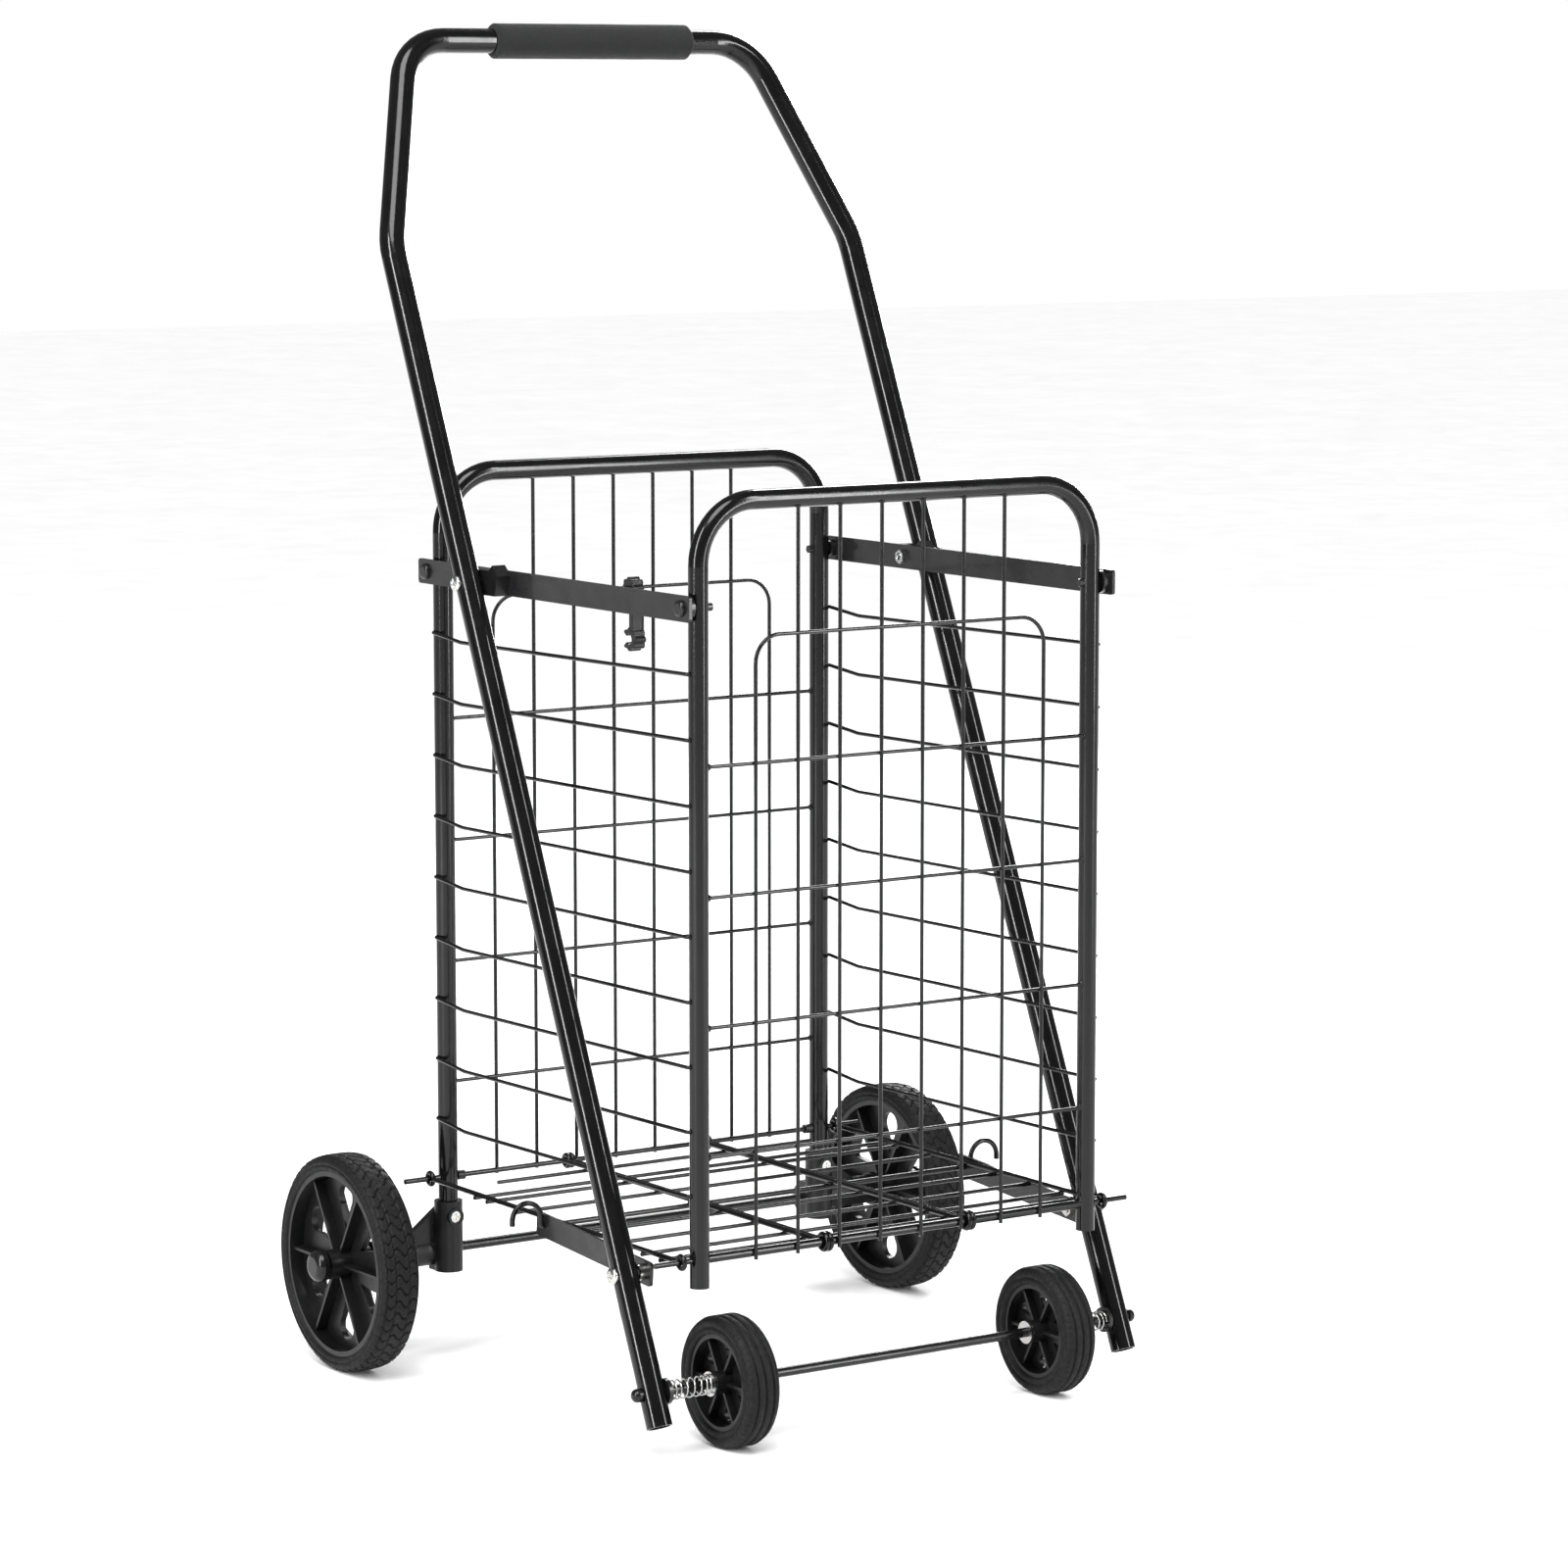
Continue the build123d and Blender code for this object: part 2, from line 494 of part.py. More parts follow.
# ---------------------------------------------------------------- links
def link(side):
    """Flat bar from the hook wire to the handle leg."""
    rear = (LINK_REAR_Y, LINK_REAR_Z)
    front = (handle_y(LINK_FRONT_Z), LINK_FRONT_Z)
    run = math.hypot(rear[0] - front[0], rear[1] - front[1])
    slope = math.degrees(math.atan2(rear[1] - front[1], rear[0] - front[0]))
    middle_y, middle_z = (rear[0] + front[0]) / 2, (rear[1] + front[1]) / 2
    bar = Box(LINK_THICK, run + 18, 2 * LINK_HALF)
    bar = fillet(bar.edges().filter_by(Axis.X), 2.5)
    bar = Pos(side * (LINK_IN_X + LINK_THICK / 2), middle_y, middle_z) * Rot(slope, 0, 0) * bar
    rear_hole = cross_rod(side * 158, side * 166, rear[0], rear[1], HOOK_WIRE_R + PIN_PLAY)
    front_hole = cross_rod(side * 158, side * 166, front[0], front[1], BOLT_R)
    return bar - rear_hole - front_hole


def links():
    y, z = handle_y(LINK_FRONT_Z), LINK_FRONT_Z
    nuts, pins, heads = [], [], []
    tube_in, tube_out = HANDLE_X - HANDLE_R, HANDLE_X + HANDLE_R
    for name, side in SIDES:
        save(name + "_link", link(side))
        nuts.append(hex_nut(side, LINK_IN_X - NUT_THICK, LINK_IN_X, y, z, NUT_ACROSS, BOLT_R))
        pins.append(cross_rod(side * (LINK_IN_X - 4.2), side * (tube_in - FACE_GAP), y, z, BOLT_R)
                    + ring(side * (LINK_IN_X + LINK_THICK), side * (tube_in - FACE_GAP), y, z, 5.0, BOLT_R))
        heads.append(cross_rod(side * (tube_in + 0.6), side * (tube_out + 0.5), y, z, BOLT_R)
                     + domed_head(side, tube_out, y, z, 5.2, 3.2))
    save("link_nuts", group(nuts))
    save("link_pins", group(pins))
    save("link_bolts", group(heads))


# ---------------------------------------------------------------- handle
def handle_frame():
    lean = math.atan(HANDLE_LEAN)
    foot_z = FRONT_WHEEL_R - HANDLE_FOOT * math.cos(lean)
    points = [(-HANDLE_X, handle_y(foot_z), foot_z), (-HANDLE_X, handle_y(HANDLE_KNEE_Z), HANDLE_KNEE_Z),
              (-HANDLE_APEX_X, handle_y(HANDLE_TOP_Z), HANDLE_TOP_Z),
              (HANDLE_APEX_X, handle_y(HANDLE_TOP_Z), HANDLE_TOP_Z),
              (HANDLE_X, handle_y(HANDLE_KNEE_Z), HANDLE_KNEE_Z), (HANDLE_X, handle_y(foot_z), foot_z)]
    bends = [HANDLE_KNEE_R, HANDLE_CORNER, HANDLE_CORNER, HANDLE_KNEE_R]
    body = tube(points, bends, HANDLE_R, HANDLE_WALL)
    reach_in, reach_out = HANDLE_X - HANDLE_R - 2, HANDLE_X + HANDLE_R + 2
    cuts = []
    for _, side in SIDES:
        cuts.append(cross_rod(side * reach_in, side * reach_out, handle_y(STRAP_Z), STRAP_Z, BOLT_R + PIN_PLAY))
        cuts.append(cross_rod(side * reach_in, side * reach_out, handle_y(LINK_FRONT_Z), LINK_FRONT_Z, BOLT_R))
        cuts.append(cross_rod(side * reach_in, side * reach_out, FRONT_AXLE_Y, FRONT_WHEEL_R, FRONT_AXLE_R))
    save("handle_tube", body - cuts)
    grip_y = handle_y(HANDLE_TOP_Z)
    grip = ring(GRIP_X - GRIP_LENGTH / 2, GRIP_X + GRIP_LENGTH / 2, grip_y, HANDLE_TOP_Z, GRIP_R, HANDLE_R)
    rims = grip.edges().filter_by(GeomType.CIRCLE).filter_by(lambda edge: edge.radius > GRIP_R - 0.1)
    save("foam_grip", chamfer(rims, 2.0))


def spring(side, x_in, x_out):
    """Compression spring round the front axle."""
    turns, wire_r, coil_r = 6.5, 0.65, 5.6
    height = x_out - x_in - 2 * wire_r
    helix = Helix(height / turns, height, coil_r)
    coil = sweep(Plane(origin=helix @ 0, z_dir=helix % 0) * Circle(wire_r), path=helix, is_frenet=True)
    low = min(side * (x_in + wire_r), side * (x_out - wire_r))
    return Plane(origin=(low, FRONT_AXLE_Y, FRONT_WHEEL_R), z_dir=(1, 0, 0)) * coil


def front_axle():
    y, z = FRONT_AXLE_Y, FRONT_WHEEL_R
    end_x = HANDLE_X + HANDLE_R + 3.0
    axle = cross_rod(-end_x, end_x, y, z, FRONT_AXLE_R)
    caps = [domed_head(side, end_x - 2.0, y, z, 4.2, 5.0) for _, side in SIDES]
    save("front_axle", axle + caps)
    hub_in, hub_out = FRONT_TYRE_IN_X - 2.6, FRONT_TYRE_IN_X + 24.0
    tube_in = HANDLE_X - HANDLE_R
    save("front_axle_washers", group([ring(side * (tube_in - 2.6), side * (tube_in - 0.1), y, z, 8.0,
                                           FRONT_AXLE_R) for _, side in SIDES]))
    save("front_retaining_rings", group([ring(side * (hub_in - 2.2), side * (hub_in - FACE_GAP), y, z, 7.2,
                                              FRONT_AXLE_R) for _, side in SIDES]))
    for name, side in SIDES:
        save(name + "_spring_seat", ring(side * (hub_out + FACE_GAP), side * (hub_out + 2.0), y, z, 7.6,
                                         FRONT_AXLE_R + PIN_PLAY))
        save(name + "_wheel_spring", spring(side, hub_out + 2.2, tube_in - 2.8))


# ---------------------------------------------------------------- fold clip
def fold_clip():
    """Plastic clip that hangs from the top wire of the rear panel and snaps over the front panel."""
    wire_y = LEG_Y + ROD_R + WIRE_R - 0.3
    z, jaw_z, width = INNER_U_TOP_Z, INNER_U_TOP_Z - CLIP_DROP, CLIP_WIDTH
    eye_ring = cross_rod(-width / 2, width / 2, wire_y, z, CLIP_EYE_R)
    arm = Pos(0, wire_y - 3.6, (z + jaw_z) / 2) * Box(width, CLIP_ARM_THICK, CLIP_DROP)
    jaw = cross_rod(-width / 2, width / 2, wire_y - 1.0, jaw_z, CLIP_JAW_R)
    jaw_space = cross_rod(-width, width, wire_y + 0.6, jaw_z, 3.6)
    mouth = Pos(0, wire_y + 7, jaw_z) * Box(2 * width, 12, 4.6)
    bore = cross_rod(-width, width, wire_y, z, WIRE_R + HOLE_PLAY)
    save("fold_clip", eye_ring + arm + jaw - bore - jaw_space - mouth)


rear_frame()
rear_axle()
rear_wheels()
front_wheels()
straps()
front_frame()
shelf()
hook_wire()
side_wires()
links()
handle_frame()
front_axle()
fold_clip()
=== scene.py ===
import itertools
import json
import math

import bpy
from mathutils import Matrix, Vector, noise


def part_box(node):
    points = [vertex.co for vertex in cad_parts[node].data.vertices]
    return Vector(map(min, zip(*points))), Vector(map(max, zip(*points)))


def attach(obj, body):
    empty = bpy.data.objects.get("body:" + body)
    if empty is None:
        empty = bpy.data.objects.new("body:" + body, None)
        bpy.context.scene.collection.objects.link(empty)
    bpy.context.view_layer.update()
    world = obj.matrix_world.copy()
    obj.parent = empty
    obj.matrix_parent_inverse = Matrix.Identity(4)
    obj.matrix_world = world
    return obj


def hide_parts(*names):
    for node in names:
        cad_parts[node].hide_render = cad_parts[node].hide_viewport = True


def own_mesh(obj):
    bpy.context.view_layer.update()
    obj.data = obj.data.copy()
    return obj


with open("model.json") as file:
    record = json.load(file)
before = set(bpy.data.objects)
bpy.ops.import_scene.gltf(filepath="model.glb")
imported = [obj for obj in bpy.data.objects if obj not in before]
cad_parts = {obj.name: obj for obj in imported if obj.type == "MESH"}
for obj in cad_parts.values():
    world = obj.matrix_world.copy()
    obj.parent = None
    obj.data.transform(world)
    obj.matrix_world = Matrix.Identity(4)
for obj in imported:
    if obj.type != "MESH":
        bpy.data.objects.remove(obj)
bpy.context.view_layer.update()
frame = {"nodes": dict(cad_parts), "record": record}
MM = 0.001

# ---------------------------------------------------------------- sizes, in millimetres
# Panels: where the CAD has its legs, wires and bottom rods. X is from the middle.
LEG_X = 145.0
PANEL_TOP_Z = 573.5
ROD_Z = 119.5
HORIZONTAL_TOP_Z = 416.5
HORIZONTAL_STEP = 78.4
HORIZONTALS = 4
VERTICAL_STEP = 30.5
VERTICALS = 8
WIRE_R = 1.2
MIDDLE_Y = 23.0                  # the origin lies this far behind the middle of the basket
LEG_FROM_MIDDLE_Y = 148.0
REAR_LEG_Y = LEG_FROM_MIDDLE_Y - MIDDLE_Y
FRONT_LEG_Y = -LEG_FROM_MIDDLE_Y - MIDDLE_Y
REAR_TUBE_R, REAR_ROD_R = 6.35, 1.7
FRONT_TUBE_R, FRONT_ROD_R = 6.0, 2.8

# Shelf: runners lie front to back, cross wires under them.
SHELF_RUNNER_XS = (-158.0, -55.0, -52.0, 52.0, 55.0, 158.0)
SHELF_CROSS_FROM_REAR = (57.0, 72.0, 109.0, 182.0, 219.0, 254.0, 274.0)
SHELF_RUNNER_R = 1.6

# Tyres
TREAD_PITCH = 8.4                # from one sipe to the next, along the tread
TREAD_DEPTH = 1.5
SIPE_WANDER, SIPE_WANDER_PITCH = 2.6, 10.5
TREAD_CROWN, TREAD_CROWN_POWER = 1.9, 3.4
BIG_TYRE_COLUMNS = 900
BIG_TREAD_ROWS = 44
SMALL_TYRE_COLUMNS = 480
SMALL_CHANNELS = (-5.6, 0.0, 5.6)
SMALL_CHANNEL_DEPTH = 1.5
NOTCH_DEPTH = 0.5                # shoulder notches of the small tyres
NOTCH_EVERY, NOTCH_COLUMNS = 8, 2

# Springs and grip
SPRING_TURNS = 7.5
SPRING_WIRE_R = 0.55
SPRING_STEPS_PER_TURN = 40
GRIP_BEVEL = 2.2
GRIP_BORE_R = 8.05
GRIP_COLUMNS, GRIP_ROWS = 96, 120

# Cross-recess screws: shank starts this far from the middle, and head height
SCREW_SHANK_R = 2.5
PIVOT_SHANK_IN, PIVOT_HEAD = 151.2, 3.0
LINK_SHANK_IN, LINK_HEAD = 167.6, 3.2
RECESS_ARM, RECESS_DEPTH = 0.62, 0.9
HEAD_DOME_SHARE = 0.62           # part of the head's height that is domed
SCREW_COLUMNS, SCREW_RINGS = 64, 26

# Fold clip
CLIP_EYE_R, CLIP_EYE_BORE = 6.4, 1.45
CLIP_JAW_R, CLIP_JAW_BORE = 7.5, 3.5
CLIP_JAW_GAP = 1.3               # radians
CLIP_LOBES, CLIP_LOBE_RISE = 8, 0.085    # the rise is a share of the radius
CLIP_ARM_HALF = 2.1
CLIP_ARM_BEHIND_EYE = 3.6

# Weld beads: half sizes along x, y and z
LEG_BEAD = (1.9, 1.7, 2.1)
CROSS_BEAD = (1.35, 1.3, 1.35)
TOP_BEAD = (1.8, 1.5, 1.7)
ROD_BEAD = (1.5, 1.1, 1.7)
SHELF_BEAD = (1.6, 1.5, 1.1)
BEAD_UNEVENNESS = 0.16
BEAD_SINK = 0.3                  # how far a wire is let into the bar it is welded to

# ---------------------------------------------------------------- studio and camera
ROOM_LIGHT = 0.2                 # brightness of the room around the stage
FLOOR_REACH = 14.0               # metres
SKY_POWER, SKY_SPREAD, SKY_TILT = 3.3, 38, (20, -16)
STRIPS = (                       # name, place in metres, width and height, watts
    ("left_strip", (-2.6, -0.6, 1.5), (0.35, 2.6), 90),
    ("right_strip", (1.6, -2.6, 1.3), (0.3, 2.6), 60),
    ("back_strip", (1.9, 1.9, 1.5), (0.4, 2.4), 60),
)
STRIP_AIM = (0, 0, 0.4)
CAMERA_AZIMUTH, CAMERA_ELEVATION, CAMERA_DISTANCE = -34.14, 7.46, 3.284
CAMERA_TARGET = (0.0032, -0.0195, 0.3819)    # metres, from the middle of the basket
FOCAL_PX, IMAGE_PX, SENSOR_MM = 5337.0, 1600.0, 36.0

# ---------------------------------------------------------------- colours
COAT_BLACK = (0.003, 0.003, 0.0032)
BAR_BLACK = (0.008, 0.008, 0.0085)
SOFT_BLACK = (0.005, 0.005, 0.0054)

MIX_COLOURS = (6, 7)             # the Mix node's colour inputs, which share names with others
MIX_COLOUR_OUT = 2


# ---------------------------------------------------------------- node helpers
class Shader:
    """A material under construction: a Principled shader and a few ways to feed it."""

    def __init__(self, name, **sockets):
        self.material = bpy.data.materials.new(name)
        self.material.use_nodes = True
        self.nodes = self.material.node_tree.nodes
        self.links = self.material.node_tree.links
        self.shader = self.nodes["Principled BSDF"]
        for socket, value in sockets.items():
            self.shader.inputs[socket.replace("_", " ")].default_value = value
        self.place = self.nodes.new("ShaderNodeTexCoord").outputs["Object"]

    def noise(self, scale, detail=4.0, rough=0.55):
        node = self.nodes.new("ShaderNodeTexNoise")
        node.inputs["Scale"].default_value = scale
        node.inputs["Detail"].default_value = detail
        node.inputs["Roughness"].default_value = rough
        self.links.new(self.place, node.inputs["Vector"])
        return node.outputs["Fac"]

    def cells(self, scale):
        node = self.nodes.new("ShaderNodeTexVoronoi")
        node.inputs["Scale"].default_value = scale
        self.links.new(self.place, node.inputs["Vector"])
        return node.outputs["Distance"]

    def ramp(self, value, low, high, start=0.35, end=0.65):
        """Colour from low to high as value goes from start to end."""
        node = self.nodes.new("ShaderNodeValToRGB")
        stops = node.color_ramp.elements
        stops[0].position, stops[0].color = start, (*low, 1)
        stops[1].position, stops[1].color = end, (*high, 1)
        self.links.new(value, node.inputs["Fac"])
        return node.outputs["Color"]

    def span(self, value, low, high, start=0.3, end=0.7):
        """Number from low to high as value goes from start to end."""
        node = self.nodes.new("ShaderNodeMapRange")
        limits = {"From Min": start, "From Max": end, "To Min": low, "To Max": high}
        for socket, number in limits.items():
            node.inputs[socket].default_value = number
        self.links.new(value, node.inputs["Value"])
        return node.outputs["Result"]

    def blend(self, amount, first, second):
        """Colour from first to second as amount goes from 0 to 1."""
        node = self.nodes.new("ShaderNodeMix")
        node.data_type = "RGBA"
        self.links.new(amount, node.inputs["Factor"])
        for number, colour in zip(MIX_COLOURS, (first, second)):
            self.links.new(colour, node.inputs[number])
        return node.outputs[MIX_COLOUR_OUT]

    def bump(self, heights):
        """Bumps stacked on each other, each a height, a strength and a distance in mm."""
        normal = None
        for height, strength, distance in heights:
            node = self.nodes.new("ShaderNodeBump")
            node.inputs["Strength"].default_value = strength
            node.inputs["Distance"].default_value = distance * MM
            self.links.new(height, node.inputs["Height"])
            if normal is not None:
                self.links.new(normal, node.inputs["Normal"])
            normal = node.outputs["Normal"]
        self.links.new(normal, self.shader.inputs["Normal"])

    def feed(self, socket, value):
        self.links.new(value, self.shader.inputs[socket])


def scaled(colour, factor):
    return [part * factor for part in colour]


def powder_coat(name, base, gloss, peel=0.16, coat=0.24):
    """Black powder coat: orange peel, drifting gloss, dust specks and faint rubbed patches."""
    s = Shader(name, Coat_Weight=coat, Coat_Roughness=0.08, IOR=1.5, Specular_IOR_Level=0.2)
    drift = s.noise(38, 5)
    rubbed = s.noise(210, 6, 0.7)
    dark = s.ramp(drift, scaled(base, 0.75), scaled(base, 1.35))
    worn = s.ramp(rubbed, base, scaled(base, 3.0), 0.62, 0.78)
    s.feed("Base Color", s.blend(s.span(rubbed, 0.0, 0.45, 0.62, 0.75), dark, worn))
    s.feed("Roughness", s.span(s.noise(90, 4), gloss * 0.75, gloss * 1.45))
    s.bump([(s.noise(640, 2, 0.4), peel, 0.25), (s.noise(2600, 2), peel * 0.35, 0.08)])
    return s.material


def moulded_plastic(name, base, rough, grain=0.25):
    """Injection-moulded plastic: fine spark-eroded grain with flow marks."""
    s = Shader(name, IOR=1.47, Specular_IOR_Level=0.32)
    s.feed("Base Color", s.ramp(s.noise(55, 5), scaled(base, 0.8), scaled(base, 1.45)))
    s.feed("Roughness", s.span(s.noise(130, 4), rough * 0.85, rough * 1.2))
    s.bump([(s.noise(2300, 3, 0.6), grain, 0.12), (s.noise(160, 3), grain * 0.4, 0.3)])
    return s.material


def tyre_rubber(name, base, mottle):
    """Tyre rubber with a mottled tread skin, darkened by painted shade in the mottle's dips, and
    dusty high spots.
    """
    s = Shader(name, IOR=1.5, Specular_IOR_Level=0.2)
    patches = s.cells(420)
    dust = s.noise(75, 6, 0.65)
    # painted shade: the bare rubber darkens in the dips of the mottle bump
    dip_shaded_bare_rubber = s.ramp(patches, scaled(base, 0.7), scaled(base, 1.5), 0.15, 0.75)
    dusty = s.ramp(dust, scaled(base, 1.2), scaled(base, 2.4), 0.45, 0.8)
    s.feed("Base Color", s.blend(s.span(dust, 0.0, 0.5, 0.5, 0.8), dip_shaded_bare_rubber, dusty))
    s.feed("Roughness", s.span(s.noise(300, 4), 0.5, 0.74))
    s.bump([(patches, mottle, 0.5), (s.noise(1500, 4, 0.6), mottle * 0.6, 0.2)])
    return s.material


def bright_metal(name, base, rough):
    """Zinc-plated steel with a faint yellow-blue drift and fine handling marks."""
    s = Shader(name, Metallic=1.0)
    cool = [base[0] * 0.93, base[1] * 0.97, base[2] * 1.03]
    warm = [base[0] * 1.04, base[1], base[2] * 0.9]
    s.feed("Base Color", s.ramp(s.noise(240, 4), cool, warm))
    s.feed("Roughness", s.span(s.noise(700, 5, 0.6), rough * 0.7, rough * 1.5))
    s.bump([(s.noise(1800, 3, 0.5), 0.18, 0.06)])
    return s.material


def foam(name, base):
    """Closed-cell foam: burst cells with painted shade in their pits, soft sheen and faint rubbed
    streaks.
    """
    s = Shader(name, Sheen_Weight=0.08, Sheen_Roughness=0.6, Specular_IOR_Level=0.18)
    pores = s.cells(1500)
    streaks = s.span(s.noise(70, 5), 0.2, 0.8)
    # painted shade: both foam colours darken in the pores, where the cell bump sinks
    pore_shaded_foam = s.ramp(pores, scaled(base, 0.45), base, 0.05, 0.5)
    pore_shaded_rubbed_foam = s.ramp(pores, scaled(base, 0.7), scaled(base, 1.35), 0.05, 0.5)
    s.feed("Base Color", s.blend(streaks, pore_shaded_foam, pore_shaded_rubbed_foam))
    s.feed("Roughness", s.span(s.noise(400, 4), 0.82, 0.97))
    s.bump([(pores, 0.55, 0.35), (s.noise(260, 4), 0.3, 0.5)])
    return s.material


MATERIALS = {
    "painted_tube": powder_coat("black_tube_coat", COAT_BLACK, 0.15),
    "painted_wire": powder_coat("black_wire_coat", COAT_BLACK, 0.2, 0.12, 0.2),
    "painted_axle": powder_coat("black_axle_coat", SOFT_BLACK, 0.26, 0.1, 0.2),
    "painted_flat_bar": powder_coat("black_bar_coat", BAR_BLACK, 0.3, 0.2, 0.3),
    "dark_hardware": powder_coat("blackened_steel", BAR_BLACK, 0.25, 0.08, 0.3),
    "zinc_steel": bright_metal("zinc_plate", (0.5, 0.5, 0.5), 0.22),
    "foam": foam("grip_foam", (0.010, 0.0102, 0.0108)),
    "tyre_rubber": tyre_rubber("tyre_rubber", (0.0036, 0.0036, 0.0037), 0.4),
    "wheel_plastic": moulded_plastic("wheel_plastic", (0.0045, 0.0045, 0.0048), 0.36),
    "cap_plastic": moulded_plastic("cap_plastic", SOFT_BLACK, 0.22, 0.1),
    "bracket_plastic": moulded_plastic("bracket_plastic", SOFT_BLACK, 0.38, 0.3),
    "clip_plastic": moulded_plastic("clip_plastic", (0.006, 0.006, 0.0065), 0.33, 0.2),
}
SLOT_OF = {entry["node"]: entry["material_slot"] for entry in frame["record"]["subparts"]}

for node_name, node_object in frame["nodes"].items():
    for material_slot in node_object.material_slots:
        material_slot.material = MATERIALS[SLOT_OF[node_name]]


# ---------------------------------------------------------------- mesh helpers
def finish_piece(piece, body, slot, *nodes):
    """Give a new piece its material and body, and hide the CAD nodes that it stands for."""
    piece.data.materials.append(MATERIALS[slot])
    piece.data.polygons.foreach_set("use_smooth", [True] * len(piece.data.polygons))
    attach(piece, body)
    if nodes:
        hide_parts(*nodes)


def mesh_piece(name, points, faces):
    mesh = bpy.data.meshes.new(name)
    mesh.from_pydata([tuple(p) for p in points], [], faces)
    mesh.update()
    piece = bpy.data.objects.new(name, mesh)
    bpy.context.scene.collection.objects.link(piece)
    return piece


def grid_faces(rows, columns, wrap_rows=False, wrap_columns=True):
    """Quads of a grid whose points come row by row."""
    faces = []
    for r in range(rows if wrap_rows else rows - 1):
        for c in range(columns if wrap_columns else columns - 1):
            r2, c2 = (r + 1) % rows, (c + 1) % columns
            faces.append((r * columns + c, r * columns + c2,
                          r2 * columns + c2, r2 * columns + c))
    return faces


def shifted(faces, start):
    return [tuple(start + number for number in face) for face in faces]


def turned(centre, x, reach, turn):
    """Point on a lathe about X, in metres. At turn 0 it is straight above the centre."""
    return (x, centre.y + reach * math.sin(turn), centre.z + reach * math.cos(turn))


def swept(path, radius, sides=12):
    """Round bar along a list of points: vertices and faces, with flat ends."""
    points, previous = [], Vector((0, 0, 1))
    for index, here in enumerate(path):
        ahead = path[min(index + 1, len(path) - 1)] - path[max(index - 1, 0)]
        ahead.normalize()
        across = ahead.cross(previous).cross(ahead)
        across = across.normalized() if across.length > 1e-6 else ahead.orthogonal().normalized()
        previous = across
        other = ahead.cross(across)
        for n in range(sides):
            turn = 2 * math.pi * n / sides
            points.append(here + (across * math.cos(turn) + other * math.sin(turn)) * radius)
    faces = grid_faces(len(path), sides)
    last = (len(path) - 1) * sides
    faces.append(tuple(range(sides))[::-1])
    faces.append(tuple(range(last, last + sides)))
    return points, faces


def axle_place(node):
    """Centre, radius and two ends of a round node that lies along X, in metres."""
    low, high = (Vector(corner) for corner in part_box(node))
    return (low + high) / 2, (high.z - low.z) / 2, low.x, high.x


# ---------------------------------------------------------------- tyres
def zigzag_depth(along, across, half):
    """Depth in mm of the zigzag sipes, edge slots and centre channels of the tread."""
    wander = SIPE_WANDER * math.sin(2 * math.pi * across / SIPE_WANDER_PITCH)
    phase = ((along + wander) / TREAD_PITCH) % 1.0
    sipe = min(1.0, max(0.0, 1.6 - abs(phase - 0.5) * TREAD_PITCH / 0.55))
    if abs(across) >= half * 0.93:
        sipe = 0.0
    rib = max(0.0, 1.0 - abs(abs(across) - half * 0.36) / 0.7)
    edge = max(0.0, 1.0 - abs(abs(across) - half * 0.78) / 0.6)
    return TREAD_DEPTH * max(sipe, rib * 0.8, edge * 0.9)


def lathe_tyre(name, centre, profile, columns, cut):
    """Tyre from its outline of (x, radius) in mm. cut(column, x, radius) is a depth in mm."""
    points = []
    for x, r in profile:
        for c in range(columns):
            reach = (r - cut(c, x, r)) * MM
            points.append(turned(centre, centre.x + x * MM, reach, 2 * math.pi * c / columns))
    return mesh_piece(name, points, grid_faces(len(profile), columns, wrap_rows=True))


def big_tyre(side):
    """Rear tyre with a crowned tread cut by zigzag sipes, and stepped side walls."""
    node = side + "_rear_tyre"
    centre, radius, low_x, high_x = axle_place(node)
    half = (high_x - low_x) / MM / 2
    radius /= MM
    wall = [(-half + 1.5, 59.5), (-half + 0.4, 60.4), (-half, 62.0), (-half, 62.9),
            (-half + 0.5, 63.3), (-half + 0.5, 63.9), (-half, 64.3), (-half, 65.2),
            (-half + 0.5, 66.6), (-half + 1.6, 67.8)]
    profile = wall[:]
    shoulder = 2.2
    for n in range(BIG_TREAD_ROWS + 1):
        x = (-half + shoulder) + (2 * half - 2 * shoulder) * n / BIG_TREAD_ROWS
        profile.append((x, radius - TREAD_CROWN * abs(x / half) ** TREAD_CROWN_POWER))
    profile += [(-x, r) for x, r in reversed(wall)]

    def cut(column, x, r):
        if abs(x) >= half - 2.0:
            return 0.0
        return zigzag_depth(2 * math.pi * column / BIG_TYRE_COLUMNS * radius, x, half)

    piece = lathe_tyre(side + "_big_tyre", centre, profile, BIG_TYRE_COLUMNS, cut)
    finish_piece(piece, side + "_rear_wheel", "tyre_rubber", node)


def small_tyre(side):
    """Front tyre with three channels, notched shoulders and stepped side walls."""
    node = side + "_front_tyre"
    centre, radius, low_x, high_x = axle_place(node)
    half = (high_x - low_x) / MM / 2
    radius /= MM
    wall = [(-half + 1.0, 29.5), (-half, 30.8), (-half, 33.0), (-half + 0.6, 33.4),
            (-half + 0.6, 34.2), (-half, 34.6), (-half, 36.4), (-half + 0.5, 38.2),
            (-half + 1.5, 39.3)]
    profile = wall[:]
    floor_r = radius - SMALL_CHANNEL_DEPTH
    for channel in SMALL_CHANNELS:
        profile += [(channel - 1.3, radius), (channel - 0.8, radius - 0.25),
                    (channel - 0.6, floor_r), (channel + 0.6, floor_r),
                    (channel + 0.8, radius - 0.25), (channel + 1.3, radius)]
    profile += [(-x, r) for x, r in reversed(wall)]

    def cut(column, x, r):
        on_shoulder = abs(x) > 8.0 and r > 38.5
        return NOTCH_DEPTH if on_shoulder and column % NOTCH_EVERY < NOTCH_COLUMNS else 0.0

    piece = lathe_tyre(side + "_small_tyre", centre, profile, SMALL_TYRE_COLUMNS, cut)
    finish_piece(piece, side + "_front_wheel", "tyre_rubber", node)


